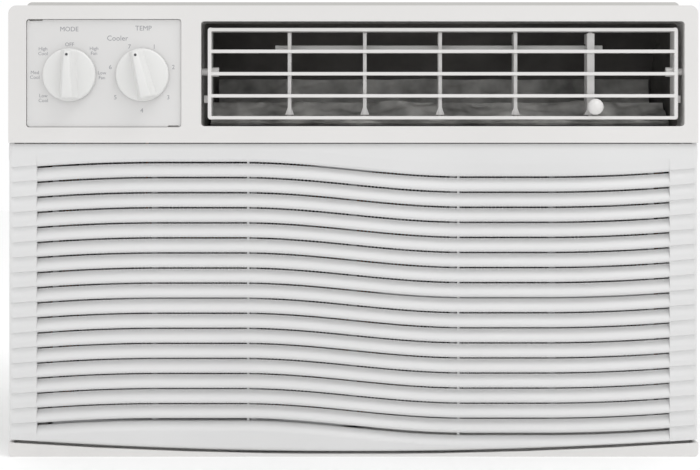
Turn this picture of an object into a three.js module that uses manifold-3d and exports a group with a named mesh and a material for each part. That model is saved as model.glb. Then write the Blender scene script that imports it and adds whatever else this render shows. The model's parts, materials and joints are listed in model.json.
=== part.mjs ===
// A window air conditioner: bezel with swinging intake grille, tilting louver with swivelling
// vanes, two rotary controls, and the whole refrigeration and fan chassis inside its cabinet.
// Millimetres, +Z up, front faces -Y. Inside the "unit" group Y is the depth behind the bezel face.

import * as THREE from 'three';
import { mergeVertices } from 'three/addons/utils/BufferGeometryUtils.js';
import Module from 'manifold-3d';

const wasm = await Module();
wasm.setup();

// ---------------------------------------------------------------- driving dimensions

const GAP = 0.3;                 // between pieces that touch
const KNOB_REACH = 15;           // how far the knobs stand in front of the bezel
const DEPTH = 380;               // bezel face to the back edge of the cabinet
const FACE_Y = KNOB_REACH - (KNOB_REACH + DEPTH) / 2;

const BEZEL = { halfWidth: 235, height: 307.4, depth: 50, wall: 3, skin: 2.6 };
const SEAM_Z = 213.8;            // line between the bezel's upper part and the intake grille
const CABINET = { halfWidth: 231, height: 313, sheet: 1, front: 50.3, corner: 4 };
const PAN = { halfWidth: 229.5, front: 25, back: 377.5, sheet: 1.5, wallHeight: 25 };
const INNER_HALF = 227.6;        // half width of the plates that stand between the pan's walls

const WINDOW = { x0: -103.8, x1: 225.8, z0: 225.1, z1: 296.7, corner: 2.3, wall: 2.5, depth: 30 };
const PLATE = { x0: -222.9, x1: -117.2, z0: 224.4, z1: 298.1, face: 1.8, thick: 2.8 };
const MODE_X = -193.4;
const TEMP_X = -143.7;
const TEMP_REST_ANGLE = -14;      // just past the coldest mark
const KNOB = { z: 260.1, radius: 18, stem: 4.4, hole: 5, spindle: 3 };

const LOUVER = { x0: -99.3, x1: 221.7, z0: 229.7, z1: 292.5, pivotZ: 262.4, pivotD: 12, half: 9 };
const BAR_Z = [291.1, 276.3, 261.0, 245.9, 230.9];
const BAR_THICK = 2.2;
const VANE = { first: -43.8, pitch: 51.8, count: 5, d: 15, z0: 233, z1: 289, front: 3.2, back: 14 };
const LINK = { z: 279.7, thick: 3, depth: 4, d: 11, x0: -54, x1: 173 };

const HINGE = { d: 14, z: 207, radius: 12.9, pin: 2.2, bore: 2.6 };
const GRILLE = { half: 234.7, depth: 12, skin: 3.2, top: 213.2 };
const SLOT = { count: 18, topZ: 194.9, pitch: 10.3, halfLength: 216, height: 2.4, steps: 8 };
const WAVE = { rise: 78.5, height: 5, hold: 130, fall: 0.00044 };

const SHAFT = { x: 50, z: 128, radius: 4, d0: 92, d1: 334 };
const WHEEL = { radius: 78, inner: 64, d0: 84, d1: 143, blades: 18 };
const SCROLL = { cutoff: 84, end: 122, tongue: 50, d0: 76.8, d1: 148.4, wall: 2.5, top: 222, throat: 70 };
const ORIFICE = { d: 74, thick: 2.4, radius: 66, top: 221 };
const BULKHEAD = { d: 149, thick: 1.5, top: 300 };
const MOTOR = { radius: 48, d0: 180, d1: 254 };
const FAN = { hub: 22, tip: 110, rim: 112, d0: 308, d1: 334, blades: 5 };
const SHROUD = { d: 336, sheet: 2, radius: 116, collar: 30, x0: -206 };
const EVAPORATOR = { x0: -190, x1: 205, d0: 36, d1: 62, z0: 14, z1: 205, plate: 1.5 };
const CONDENSER = { x0: -205, x1: 212, d0: 340.5, d1: 372, z0: 6, z1: 296, plate: 1.5 };
const COMPRESSOR = { x: -150, d: 222, radius: 50, z0: 25, z1: 200, foot: 62 };

// ---------------------------------------------------------------- materials

function finish(color, roughness, metalness = 0) {
  return new THREE.MeshStandardMaterial({ color, roughness, metalness });
}

const whitePlastic = finish(0xe4e2e0, 0.45);
const grillePlastic = finish(0xdcdbda, 0.45);
const platePlastic = finish(0xdadada, 0.5);
const greyPlastic = finish(0xbdbdbc, 0.5);
const darkPlastic = finish(0x3a3a3a, 0.6);
const foam = finish(0x8c8a86, 0.9);
const filterMesh = finish(0x4a4f55, 0.8);
const paintedSteel = finish(0xd8d6d0, 0.5, 0.1);
const zincSteel = finish(0xb4b8ba, 0.4, 0.9);
const blackSteel = finish(0x1c1c1d, 0.5, 0.3);
const aluminium = finish(0xc4c7c9, 0.45, 0.9);
const copper = finish(0xb06a42, 0.35, 1);
const rubber = finish(0x202020, 0.9);

// ---------------------------------------------------------------- solid helpers

// A closed geometry as a solid; a shape whose faces point inwards is turned the right way out.
function solid(geometry) {
  const bare = geometry.clone();
  bare.deleteAttribute('normal');
  bare.deleteAttribute('uv');
  const merged = mergeVertices(bare, 1e-4);
  const vertProperties = new Float32Array(merged.attributes.position.array);
  const triVerts = new Uint32Array(merged.index.array);
  const whole = new wasm.Manifold(new wasm.Mesh({ numProp: 3, vertProperties, triVerts }));
  if (whole.volume() > 0) {
    return whole;
  }
  return new wasm.Manifold(new wasm.Mesh({ numProp: 3, vertProperties, triVerts: triVerts.reverse() }));
}

function box(x0, x1, d0, d1, z0, z1) {
  const shape = new THREE.BoxGeometry(x1 - x0, d1 - d0, z1 - z0);
  return solid(shape.translate((x0 + x1) / 2, (d0 + d1) / 2, (z0 + z1) / 2));
}

function outline(points) {
  return new THREE.Shape(points.map(([u, v]) => new THREE.Vector2(u, v)));
}

// An outline in X and Z, extruded through the depth.
function extrudeDepth(shape, d0, d1, curveSegments = 4) {
  const geometry = new THREE.ExtrudeGeometry(shape, { depth: d1 - d0, bevelEnabled: false, curveSegments });
  return solid(geometry.rotateX(Math.PI / 2).translate(0, d1, 0));
}

// An outline in depth and Z, extruded across the width.
function extrudeWidth(shape, x0, x1, curveSegments = 4) {
  const geometry = new THREE.ExtrudeGeometry(shape, { depth: x1 - x0, bevelEnabled: false, curveSegments });
  geometry.applyMatrix4(new THREE.Matrix4().set(0, 0, 1, x0, 1, 0, 0, 0, 0, 1, 0, 0, 0, 0, 0, 1));
  return solid(geometry);
}

function rodDepth(x, z, radius, d0, d1, sides = 16) {
  return solid(new THREE.CylinderGeometry(radius, radius, d1 - d0, sides).translate(x, (d0 + d1) / 2, z));
}

function rodWidth(d, z, radius, x0, x1, sides = 16) {
  const rod = new THREE.CylinderGeometry(radius, radius, x1 - x0, sides).rotateZ(Math.PI / 2);
  return solid(rod.translate((x0 + x1) / 2, d, z));
}

function rodUp(x, d, radius, z0, z1, sides = 16) {
  const rod = new THREE.CylinderGeometry(radius, radius, z1 - z0, sides).rotateX(Math.PI / 2);
  return solid(rod.translate(x, d, (z0 + z1) / 2));
}

// A turned shape around a line along the depth; the profile is [radius, depth] pairs.
function turnDepth(x, z, profile, sides = 24) {
  const points = profile.map(([r, d]) => new THREE.Vector2(r, d));
  return solid(new THREE.LatheGeometry(points, sides).translate(x, 0, z));
}

// A turned shape around a vertical line; the profile is [radius, height] pairs.
function turnUp(x, d, profile, sides = 20) {
  const points = profile.map(([r, z]) => new THREE.Vector2(r, z));
  return solid(new THREE.LatheGeometry(points, sides).rotateX(Math.PI / 2).translate(x, d, 0));
}

function roundedRectangle(x0, x1, z0, z1, top, bottom = top) {
  const shape = new THREE.Shape();
  shape.moveTo(x0 + bottom, z0);
  shape.lineTo(x1 - bottom, z0);
  shape.absarc(x1 - bottom, z0 + bottom, bottom, -Math.PI / 2, 0);
  shape.lineTo(x1, z1 - top);
  shape.absarc(x1 - top, z1 - top, top, 0, Math.PI / 2);
  shape.lineTo(x0 + top, z1);
  shape.absarc(x0 + top, z1 - top, top, Math.PI / 2, Math.PI);
  shape.lineTo(x0, z0 + bottom);
  shape.absarc(x0 + bottom, z0 + bottom, bottom, Math.PI, Math.PI * 1.5);
  return shape;
}

// A bent tube through [x, depth, z] points.
function tube(points, radius, steps, sides = 8) {
  const section = new THREE.Shape();
  section.absarc(0, 0, radius, 0, Math.PI * 2);
  const path = new THREE.CatmullRomCurve3(points.map((p) => new THREE.Vector3(...p)), false, 'centripetal');
  return solid(new THREE.ExtrudeGeometry(section, {
    steps, curveSegments: sides / 2, bevelEnabled: false, extrudePath: path,
  }));
}

function sum(solids) {
  return solids.reduce((whole, piece) => whole.add(piece));
}

// ---------------------------------------------------------------- scene graph helpers

const model = new THREE.Group();
const unit = new THREE.Group();
unit.position.y = FACE_Y;
model.add(unit);

function addPiece(name, shape, material, parent = unit) {
  const { vertProperties, triVerts } = shape.getMesh();
  const geometry = new THREE.BufferGeometry();
  geometry.setAttribute('position', new THREE.BufferAttribute(new Float32Array(vertProperties), 3));
  geometry.setIndex(new THREE.BufferAttribute(new Uint32Array(triVerts), 1));
  geometry.computeVertexNormals();
  const mesh = new THREE.Mesh(geometry, material);
  mesh.name = name;
  parent.add(mesh);
  return mesh;
}

function addGroup(x, d, z) {
  const group = new THREE.Group();
  group.position.set(x, d, z);
  unit.add(group);
  return group;
}

// ---------------------------------------------------------------- bezel and controls

// Height of the curved bottom edge of the intake grille, lowest in the middle.
function archZ(x) {
  const EDGE_Z = 10.4;
  const MIDDLE_Z = 2.5;
  return MIDDLE_Z + (EDGE_Z - MIDDLE_Z) * (x / BEZEL.halfWidth) ** 2;
}

function archPoints(half, lift, steps = 16) {
  return Array.from({ length: steps + 1 }, (_, i) => {
    const x = -half + (2 * half * i) / steps;
    return [x, archZ(x) + lift];
  });
}

// Space that the grille fills in front of the bezel, down to its curved bottom edge.
function grilleRecess() {
  const half = BEZEL.halfWidth + 1;
  const chinLift = -0.9;
  const points = [...archPoints(half, chinLift), [half, SEAM_Z], [-half, SEAM_Z]];
  return extrudeDepth(outline(points), -1, GRILLE.depth + 0.5);
}

function plateHousing() {
  const back = 7.4;
  const rim = 2.6;
  const { x0, x1, z0, z1, face, thick } = PLATE;
  const block = box(x0 - rim, x1 + rim, 0, back, z0 - rim, z1 + rim);
  const pocket = extrudeDepth(roundedRectangle(x0, x1, z0, z1, 2), -1, face + thick + GAP);
  const ledge = 4.8;
  const through = box(x0 + ledge, x1 - ledge, -1, back + 1, z0 + ledge, z1 - ledge);
  return { block, cut: pocket.add(through) };
}

function dischargeTunnel() {
  const { x0, x1, z0, z1, corner, wall, depth } = WINDOW;
  const block = box(x0 - wall, x1 + wall, 0, depth, z0 - wall, z1 + wall);
  const cut = extrudeDepth(roundedRectangle(x0, x1, z0, z1, corner), -1, depth + 1);
  const trunnionHole = 2.8;
  const bearings = rodWidth(LOUVER.pivotD, LOUVER.pivotZ, trunnionHole, x0 - wall - 1, x1 + wall + 1);
  return { block, cut: cut.add(bearings) };
}

// Tongue and pin on each side that the intake grille hangs on.
function hingeLug(side) {
  const lug = box(226.5, 229.5, GRILLE.depth + 0.5, 18, 150, 211);
  const pin = rodWidth(HINGE.d, HINGE.z, HINGE.pin, 229, 233.4, 12);
  return side < 0 ? lug.add(pin).mirror([1, 0, 0]) : lug.add(pin);
}

function frontBezel() {
  const { halfWidth, height, depth, wall, skin } = BEZEL;
  const floor = 1.8;
  const frameDepth = 2.5;
  const frameFront = GRILLE.depth + 0.5;
  const outer = extrudeDepth(roundedRectangle(-halfWidth, halfWidth, 0, height, 5.5, 3), 0, depth);
  const inner = extrudeDepth(
    roundedRectangle(-halfWidth + wall, halfWidth - wall, floor, height - wall, 3, 1), skin, depth + 1);
  const panFloor = box(-halfWidth + wall, halfWidth - wall, PAN.front - 0.5, depth + 1, -1, floor + 2);
  const intakeHalf = 210;
  const frame = box(-halfWidth + 1, halfWidth - 1, frameFront, frameFront + frameDepth, 1, 190)
    .subtract(box(-intakeHalf, intakeHalf, 0, depth, 18, 200));
  const earRelief = rodWidth(HINGE.d, HINGE.z, HINGE.radius + 0.6, -halfWidth - 1, halfWidth + 1, 32)
    .subtract(box(-halfWidth + wall + 1, halfWidth - wall - 1, 0, depth, 180, 230));
  const tunnel = dischargeTunnel();
  const housing = plateHousing();
  return outer
    .subtract(inner)
    .subtract(panFloor)
    .subtract(grilleRecess())
    .add(frame)
    .subtract(earRelief)
    .add(tunnel.block)
    .add(housing.block)
    .subtract(tunnel.cut)
    .subtract(housing.cut)
    .add(hingeLug(1))
    .add(hingeLug(-1));
}

function controlPlate() {
  const { x0, x1, z0, z1, face, thick } = PLATE;
  const shape = roundedRectangle(x0 + GAP, x1 - GAP, z0 + GAP, z1 - GAP, 2);
  const slit = 1.2;
  const prySlits = box(x0 + 2, x0 + 11, 0, 9, z1 - slit, z1 + 1)
    .add(box(x1 - 9, x1 - 2, 0, 9, z0 - 1, z0 + slit));
  const holes = rodDepth(MODE_X, KNOB.z, KNOB.hole, 0, 9).add(rodDepth(TEMP_X, KNOB.z, KNOB.hole, 0, 9));
  return extrudeDepth(shape, face, face + thick).subtract(prySlits).subtract(holes);
}

// A knob around its own axis: skirt, tapered grip bar pointing up, and hollow stem.
function knobShape() {
  const skirtFront = -3.4;
  const skirtBack = PLATE.face - 0.6;
  const gripTop = -KNOB_REACH;
  const skirt = turnDepth(0, 0, [[0, skirtFront], [16.8, skirtFront], [KNOB.radius, skirtFront + 1.4],
    [KNOB.radius, skirtBack], [0, skirtBack]], 32);
  const grip = extrudeWidth(outline([[skirtFront + 0.5, -17.2], [skirtFront + 0.5, 17.2],
    [gripTop + 1.5, 15.2], [gripTop, 12], [gripTop, -12], [gripTop + 1.5, -15.2]]), -5, 5);
  const taper = extrudeDepth(outline([[-4.6, -17.2], [4.6, -17.2], [3.2, 17.2], [-3.2, 17.2]]), -20, 0);
  const stem = rodDepth(0, 0, KNOB.stem, skirtBack - 0.5, 9);
  const bore = rodDepth(0, 0, KNOB.spindle + GAP, -1, 10, 12);
  return skirt.add(grip.intersect(taper)).add(stem).subtract(bore);
}

// The knob points up at angle 0 and turns clockwise, seen from the front, as the angle grows.
function addKnob(prefix, x, angle) {
  const group = addGroup(x, 0, KNOB.z);
  group.rotation.y = THREE.MathUtils.degToRad(angle);
  addPiece(`${prefix}_knob`, knobShape(), whitePlastic, group);
  addPiece(`${prefix}_spindle`, rodDepth(0, 0, KNOB.spindle, 0, 15.4, 12), zincSteel, group);
}

// The body of a rotary control, bored for its spindle.
function controlBody(x, halfWide, halfTall, back) {
  const body = box(x - halfWide, x + halfWide, 9.6, back, KNOB.z - halfTall, KNOB.z + halfTall);
  return body.subtract(rodDepth(x, KNOB.z, KNOB.spindle + GAP, 9, 16, 12));
}

function thermostatBulb() {
  const bulb = rodWidth(31.6, 150, 3, -121, -52, 10);
  const capillary = tube([[TEMP_X, 31, 240.6], [TEMP_X, 31.4, 205], [TEMP_X, 31.6, 165],
    [-137, 31.6, 152.5], [-118, 31.6, 150]], 1.1, 14, 6);
  return capillary.add(bulb);
}

function controlBox() {
  const sheet = 1.2;
  const outer = box(-227, -110, 41, 148, 224, 300);
  return outer.subtract(box(-227 + sheet, -110 - sheet, 40, 148 - sheet, 224 + sheet, 300 - sheet));
}

addPiece('front_bezel', frontBezel(), whitePlastic);
addPiece('control_plate', controlPlate(), platePlastic);
addKnob('mode', MODE_X, 0);
addKnob('temp', TEMP_X, TEMP_REST_ANGLE);
addPiece('mode_switch', controlBody(MODE_X, 15, 15, 34), darkPlastic);
addPiece('thermostat', controlBody(TEMP_X, 20, 19, 36), zincSteel);
addPiece('thermostat_bulb', thermostatBulb(), copper);
addPiece('control_box', controlBox(), zincSteel);
addPiece('run_capacitor', rodDepth(-170, 247, 20, 66, 136, 24), aluminium);

// ---------------------------------------------------------------- louver and vanes

function vaneX(index) {
  return VANE.first + index * VANE.pitch;
}

const vaneIndexes = Array.from({ length: VANE.count }, (_, i) => i);

// The louver frame around its own pivot: five bars, two end plates, trunnions with
// their inner bosses, and stop tabs.
function louverFrame() {
  const { x0, x1, z0, z1, pivotZ, half } = LOUVER;
  const plate = 2.4;
  const middleBack = -1;
  const bars = BAR_Z.map((z, i) => {
    const isEdge = i === 0 || i === BAR_Z.length - 1;
    const back = isEdge ? half : middleBack;
    return box(x0 + 1, x1 - 1, -half, back, z - pivotZ - BAR_THICK / 2, z - pivotZ + BAR_THICK / 2);
  });
  const corner = 2;
  const ends = extrudeDepth(roundedRectangle(x0, x1, z0 - pivotZ, z1 - pivotZ, corner), -half, half)
    .subtract(box(x0 + plate, x1 - plate, -half - 1, half + 1, z0 - pivotZ - 1, z1 - pivotZ + 1));
  const trunnions = [rodWidth(0, 0, 2.5, x0 - 6.2, x0 + 1, 12), rodWidth(0, 0, 2.5, x1 - 1, x1 + 6.2, 12)];
  const bosses = [rodWidth(0, 0, 3.2, x0 + 1, x0 + 7, 16), rodWidth(0, 0, 3.2, x1 - 7, x1 - 1, 16)];
  const tabZ = 243.7 - pivotZ;
  const tabs = [
    box(x0 - 3, x0 + 1, -2, 2, tabZ - 2.5, tabZ + 2.5),
    box(x1 - 1, x1 + 3, -2, 2, tabZ - 2.5, tabZ + 2.5),
  ];
  const pinHoles = vaneIndexes.map((i) => rodUp(vaneX(i), VANE.d - LOUVER.pivotD, 1.8, -40, 40, 8));
  return sum([ends, ...bars, ...trunnions, ...bosses, ...tabs]).subtract(sum(pinHoles));
}

// A vane around its own upright pivot, with a notch and pin at the back for the link bar.
function vaneShape(index) {
  const isMaster = index === VANE.count - 1;
  const half = isMaster ? 2.5 : 1.2;
  const { z0, z1, front, back } = VANE;
  const bladeFront = isMaster ? front - 0.8 : front;
  const blade = box(-half, half, -bladeFront, back, z0, z1);
  const footHalf = half + 1.8;
  const foot = extrudeDepth(outline([[-footHalf, z0], [footHalf, z0], [0, z0 + 9]]), -2.4, 4);
  const notchHalf = 2.7;
  const notch = box(-half - 1, half + 1, LINK.d - 4.3, back + 1, LINK.z - notchHalf, LINK.z + notchHalf);
  const linkPin = rodUp(0, LINK.d, 1, LINK.z - notchHalf - 0.5, LINK.z + notchHalf + 0.5, 8);
  const pivotPins = rodUp(0, 0, 1.4, 230.3, z0 + 0.5, 8).add(rodUp(0, 0, 1.4, z1 - 0.5, 291.8, 8));
  const vane = sum([blade.subtract(notch), foot, linkPin, pivotPins]);
  return isMaster ? vane.add(vaneKnob()) : vane;
}

// The ball that a finger pushes, on an arm between the two lowest bars.
function vaneKnob() {
  const ballX = 2;
  const ballZ = 238.4;
  const ball = solid(new THREE.SphereGeometry(5.6, 14, 10).translate(ballX, -12.5, ballZ));
  return ball.add(box(-0.5, 2.5, -12, -2, ballZ - 2, ballZ + 2));
}

function linkBar() {
  const bar = box(LINK.x0, LINK.x1, VANE.d + LINK.d - LINK.depth / 2, VANE.d + LINK.d + LINK.depth / 2,
    LINK.z - LINK.thick / 2, LINK.z + LINK.thick / 2);
  const holes = vaneIndexes.map((i) => rodUp(vaneX(i), VANE.d + LINK.d, 1.4, LINK.z - 5, LINK.z + 5, 8));
  return bar.subtract(sum(holes));
}

addPiece('louver_frame', louverFrame(), whitePlastic, addGroup(0, LOUVER.pivotD, LOUVER.pivotZ));
for (const index of vaneIndexes) {
  addPiece(`vertical_vane_${index + 1}`, vaneShape(index), whitePlastic, addGroup(vaneX(index), VANE.d, 0));
}
addPiece('vane_link_bar', linkBar(), greyPlastic);

// ---------------------------------------------------------------- intake grille and filter

// How far the slats rise left of the middle; they fall by as much on the right.
function waveLift(x) {
  const u = Math.abs(x);
  if (u < WAVE.rise) {
    return -Math.sign(x) * WAVE.height * Math.sin((Math.PI / 2) * (u / WAVE.rise));
  }
  const past = Math.max(0, u - WAVE.hold);
  return -Math.sign(x) * (WAVE.height - WAVE.fall * past ** 2);
}

function slotCutter(middleZ) {
  const columns = Array.from({ length: SLOT.steps + 1 }, (_, i) => {
    return -SLOT.halfLength + (2 * SLOT.halfLength * i) / SLOT.steps;
  });
  const edge = (offset) => columns.map((x) => [x, middleZ + waveLift(x) + offset]);
  const points = [...edge(-SLOT.height / 2), ...edge(SLOT.height / 2).reverse()];
  return extrudeDepth(outline(points), 0, GRILLE.depth / 2);
}

function grilleProfile() {
  const shape = new THREE.Shape();
  const { d, z, radius } = HINGE;
  const topAngle = Math.PI - Math.asin((GRILLE.top - z) / radius);
  shape.moveTo(d - radius, 0);
  shape.lineTo(GRILLE.depth, 0);
  shape.lineTo(GRILLE.depth, GRILLE.top);
  shape.absarc(d, z, radius, topAngle, Math.PI);
  return shape;
}

// A round ear at each top corner that turns on the bezel's hinge pin.
function hingeEar(side) {
  const ear = rodWidth(HINGE.d, HINGE.z, HINGE.radius, 231.4, GRILLE.half, 32);
  return side < 0 ? ear.mirror([1, 0, 0]) : ear;
}

function intakeGrille() {
  const wall = 2.7;
  const half = GRILLE.half;
  const skinBack = HINGE.d - HINGE.radius + GRILLE.skin;
  const face = outline([...archPoints(half, 0.9), [half, GRILLE.top], [-half, GRILLE.top]]);
  const hollow = outline([...archPoints(half - wall, 3), [half - wall, 210], [wall - half, 210]]);
  const lugRoom = box(225.3, half - wall, skinBack, 20, 140, 220);
  const earRoom = box(230, half + 1, 0, 40, HINGE.z - HINGE.radius, 230)
    .subtract(rodWidth(HINGE.d, HINGE.z, HINGE.radius, 229, half + 2, 32));
  const slots = Array.from({ length: SLOT.count }, (_, i) => slotCutter(SLOT.topZ - i * SLOT.pitch));
  const bore = rodWidth(HINGE.d, HINGE.z, HINGE.bore, 231, 233.8, 12);
  const ribs = [-71.9, 71.9].map((x) => box(x - 1.5, x + 1.5, skinBack - 0.5, 7.4, 4, 211));
  return extrudeWidth(grilleProfile(), -half, half, 6)
    .intersect(extrudeDepth(face, 0, 40))
    .subtract(extrudeDepth(hollow, skinBack, 40))
    .subtract(lugRoom)
    .subtract(lugRoom.mirror([1, 0, 0]))
    .subtract(earRoom)
    .subtract(earRoom.mirror([1, 0, 0]))
    .subtract(sum(slots))
    .add(hingeEar(1))
    .add(hingeEar(-1))
    .add(sum(ribs))
    .subtract(bore)
    .subtract(bore.mirror([1, 0, 0]));
}

// A framed net: the cells are pressed in from both faces down to the thin mesh.
function airFilter() {
  const columns = 6;
  const rows = 2;
  const rib = 4;
  const [x0, x1, z0, z1] = [-206, 206, 20, 198];
  const width = (x1 - x0 - rib) / columns;
  const height = (z1 - z0 - rib) / rows;
  const cells = [];
  for (let column = 0; column < columns; column += 1) {
    for (let row = 0; row < rows; row += 1) {
      const x = x0 + rib + column * width;
      const z = z0 + rib + row * height;
      cells.push(box(x, x + width - rib, 7, 9, z, z + height - rib));
      cells.push(box(x, x + width - rib, 9.7, 12, z, z + height - rib));
    }
  }
  return box(x0, x1, 8, 10.6, z0, z1).subtract(sum(cells));
}

addPiece('intake_grille', intakeGrille(), grillePlastic);
addPiece('air_filter', airFilter(), filterMesh);

// ---------------------------------------------------------------- cabinet and base pan

function panSolid() {
  const { halfWidth, front, back, sheet, wallHeight } = PAN;
  return box(-halfWidth, halfWidth, front, back, 0, wallHeight)
    .subtract(box(-halfWidth + sheet, halfWidth - sheet, front + sheet, back - sheet, sheet,
      wallHeight + 1));
}

const SCREW = { depths: [110, 330], z: 12, radius: 2, hole: 2.3 };
const DRAIN = { x: 190, d: 200, radius: 6 };
const CORD_INLET = { d: 80, z: 45, radius: 7 };

function screwHoles() {
  return sum(SCREW.depths.map((d) => rodWidth(d, SCREW.z, SCREW.hole, -240, 240, 10)));
}

// Inverted U of sheet steel; the sides also reach forward inside the bezel.
function cabinetShell() {
  const { halfWidth, height, sheet, front, corner } = CABINET;
  const bottom = 1;
  const section = (inset, top, radius) => roundedRectangle(-halfWidth + inset, halfWidth - inset,
    bottom - 10, top, radius, 1);
  const outer = extrudeDepth(section(0, height, corner), front, DEPTH);
  const inner = extrudeDepth(section(sheet, height - sheet, corner - sheet), front - 1, DEPTH + 1);
  const frontFlange = box(-halfWidth + 2, halfWidth - 2, front, front + sheet, 301, height - 0.5);
  const flange = 12;
  const rearFlange = extrudeDepth(section(0.5, height - 0.5, corner), DEPTH - sheet, DEPTH)
    .subtract(box(-halfWidth + flange, halfWidth - flange, 0, DEPTH + 1, -20, height - flange));
  const tongueTop = 298;
  const tongues = box(-halfWidth, halfWidth, front - 6, front + 1, bottom, tongueTop)
    .subtract(box(-halfWidth + sheet, halfWidth - sheet, 0, DEPTH, -20, tongueTop + 1));
  const inlet = rodWidth(CORD_INLET.d, CORD_INLET.z, CORD_INLET.radius + GAP, -240, -220);
  return outer.subtract(inner)
    .add(frontFlange)
    .add(rearFlange)
    .add(tongues)
    .subtract(box(-300, 300, 0, DEPTH + 10, -20, bottom))
    .subtract(ventSlots())
    .subtract(screwHoles())
    .subtract(inlet);
}

// Air intake slots for the condenser side, in the two sides and the top.
function ventSlots() {
  const slots = [];
  for (const start of [185, 260]) {
    for (let row = 0; row < 7; row += 1) {
      const z = 80 + row * 24;
      slots.push(box(-240, 240, start, start + 60, z, z + 4).subtract(box(-225, 225, 0, 400, 0, 400)));
    }
  }
  for (let row = 0; row < 5; row += 1) {
    const d = 200 + row * 22;
    slots.push(box(-190, -20, d, d + 4, 305, 320));
    slots.push(box(20, 190, d, d + 4, 305, 320));
  }
  return sum(slots);
}

function cordInletBushing() {
  const { d, z, radius } = CORD_INLET;
  const side = -CABINET.halfWidth;
  return rodWidth(d, z, radius, side - 2, side + 6)
    .add(rodWidth(d, z, radius + 2.4, side - 2, side - GAP))
    .subtract(rodWidth(d, z, radius - 2.5, side - 5, side + 10));
}

function addSideScrews() {
  SCREW.depths.forEach((d, i) => {
    const place = i === 0 ? 'front' : 'rear';
    const head = rodWidth(d, SCREW.z, 4, CABINET.halfWidth + GAP, CABINET.halfWidth + 2, 12);
    const screw = head.add(rodWidth(d, SCREW.z, SCREW.radius, 224, CABINET.halfWidth + 1, 10));
    addPiece(`cabinet_screw_right_${place}`, screw, zincSteel);
    addPiece(`cabinet_screw_left_${place}`, screw.mirror([1, 0, 0]), zincSteel);
  });
}

const drainHole = rodUp(DRAIN.x, DRAIN.d, DRAIN.radius + GAP, -1, 3);
const drainPlug = rodUp(DRAIN.x, DRAIN.d, DRAIN.radius, 0.2, 8).add(
  rodUp(DRAIN.x, DRAIN.d, DRAIN.radius + 3, PAN.sheet + GAP, 4));

addPiece('base_pan', panSolid().subtract(screwHoles()).subtract(drainHole), paintedSteel);
addPiece('drain_plug', drainPlug, rubber);
addPiece('cabinet_shell', cabinetShell(), paintedSteel);
addPiece('cord_inlet_bushing', cordInletBushing(), rubber);
addSideScrews();

// ---------------------------------------------------------------- indoor air path

function drainTray() {
  const wall = 2;
  return box(-205, 212, 31, 68, PAN.sheet + GAP, 20)
    .subtract(box(-205 + wall, 212 - wall, 31 + wall, 68 - wall, PAN.sheet + GAP + wall, 21));
}

function scrollPoint(angle, offset) {
  const sweep = (angle - SCROLL.tongue) / (360 - SCROLL.tongue);
  const radius = SCROLL.cutoff + (SCROLL.end - SCROLL.cutoff) * sweep + offset;
  const turn = THREE.MathUtils.degToRad(angle);
  return [SHAFT.x + radius * Math.cos(turn), SHAFT.z + radius * Math.sin(turn)];
}

// A spiral wall around the wheel, open at the top right where the air leaves.
function blowerScroll() {
  const steps = 24;
  const angles = Array.from({ length: steps + 1 }, (_, i) => {
    return SCROLL.tongue + ((360 - SCROLL.tongue) * i) / steps;
  });
  const inner = angles.map((angle) => scrollPoint(angle, 0));
  const tongueRoot = 72;
  const outer = angles.filter((angle) => angle > tongueRoot)
    .map((angle) => scrollPoint(angle, SCROLL.wall));
  const right = SHAFT.x + SCROLL.end;
  const points = [[SCROLL.throat, SCROLL.top], ...inner, [right, SCROLL.top],
    [right + SCROLL.wall, SCROLL.top],
    ...outer.reverse(), [SCROLL.throat - SCROLL.wall, SCROLL.top]];
  return extrudeDepth(outline(points), SCROLL.d0, SCROLL.d1);
}

function pipeNotch(x0, x1, d0, d1, z0, z1) {
  return box(x0, x1, d0 - 1, d1 + 1, z0, z1);
}

function orificePlate() {
  const { d, thick, radius, top } = ORIFICE;
  const ring = rodDepth(SHAFT.x, SHAFT.z, radius + 2.5, d - 6, d + 1, 32);
  return box(-INNER_HALF, INNER_HALF, d, d + thick, 27, top)
    .add(ring)
    .subtract(rodDepth(SHAFT.x, SHAFT.z, radius, d - 10, d + 10, 32))
    .subtract(pipeNotch(-240, -200, d, d + thick, 30, 222));
}

function bulkhead() {
  const { d, thick, top } = BULKHEAD;
  return box(-INNER_HALF, INNER_HALF, d, d + thick, PAN.sheet + GAP, top)
    .subtract(rodDepth(SHAFT.x, SHAFT.z, 20, d - 5, d + 5, 20))
    .subtract(pipeNotch(-240, -200, d, d + thick, 30, 222));
}

function dischargeDuct() {
  const wall = 2.5;
  const [x0, x1] = [WINDOW.x0 - wall, INNER_HALF];
  const [front, back, bottom, top] = [30.4, 148.4, SCROLL.top + GAP, 299.8];
  const profile = (inset) => {
    const shape = new THREE.Shape();
    const bend = 58;
    shape.moveTo(front - inset, bottom + inset);
    shape.lineTo(back - inset, bottom + inset);
    shape.lineTo(back - inset, top - bend);
    shape.absarc(back - bend, top - bend, bend - inset, 0, Math.PI / 2);
    shape.lineTo(front - inset, top - inset);
    return shape;
  };
  const throat = box(SCROLL.throat, SHAFT.x + SCROLL.end, SCROLL.d0 + 2, back - wall, bottom - 1,
    bottom + wall + 1);
  return extrudeWidth(profile(0), x0, x1, 10)
    .subtract(extrudeWidth(profile(wall), x0 + wall, x1 - wall, 10))
    .subtract(throat);
}

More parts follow.
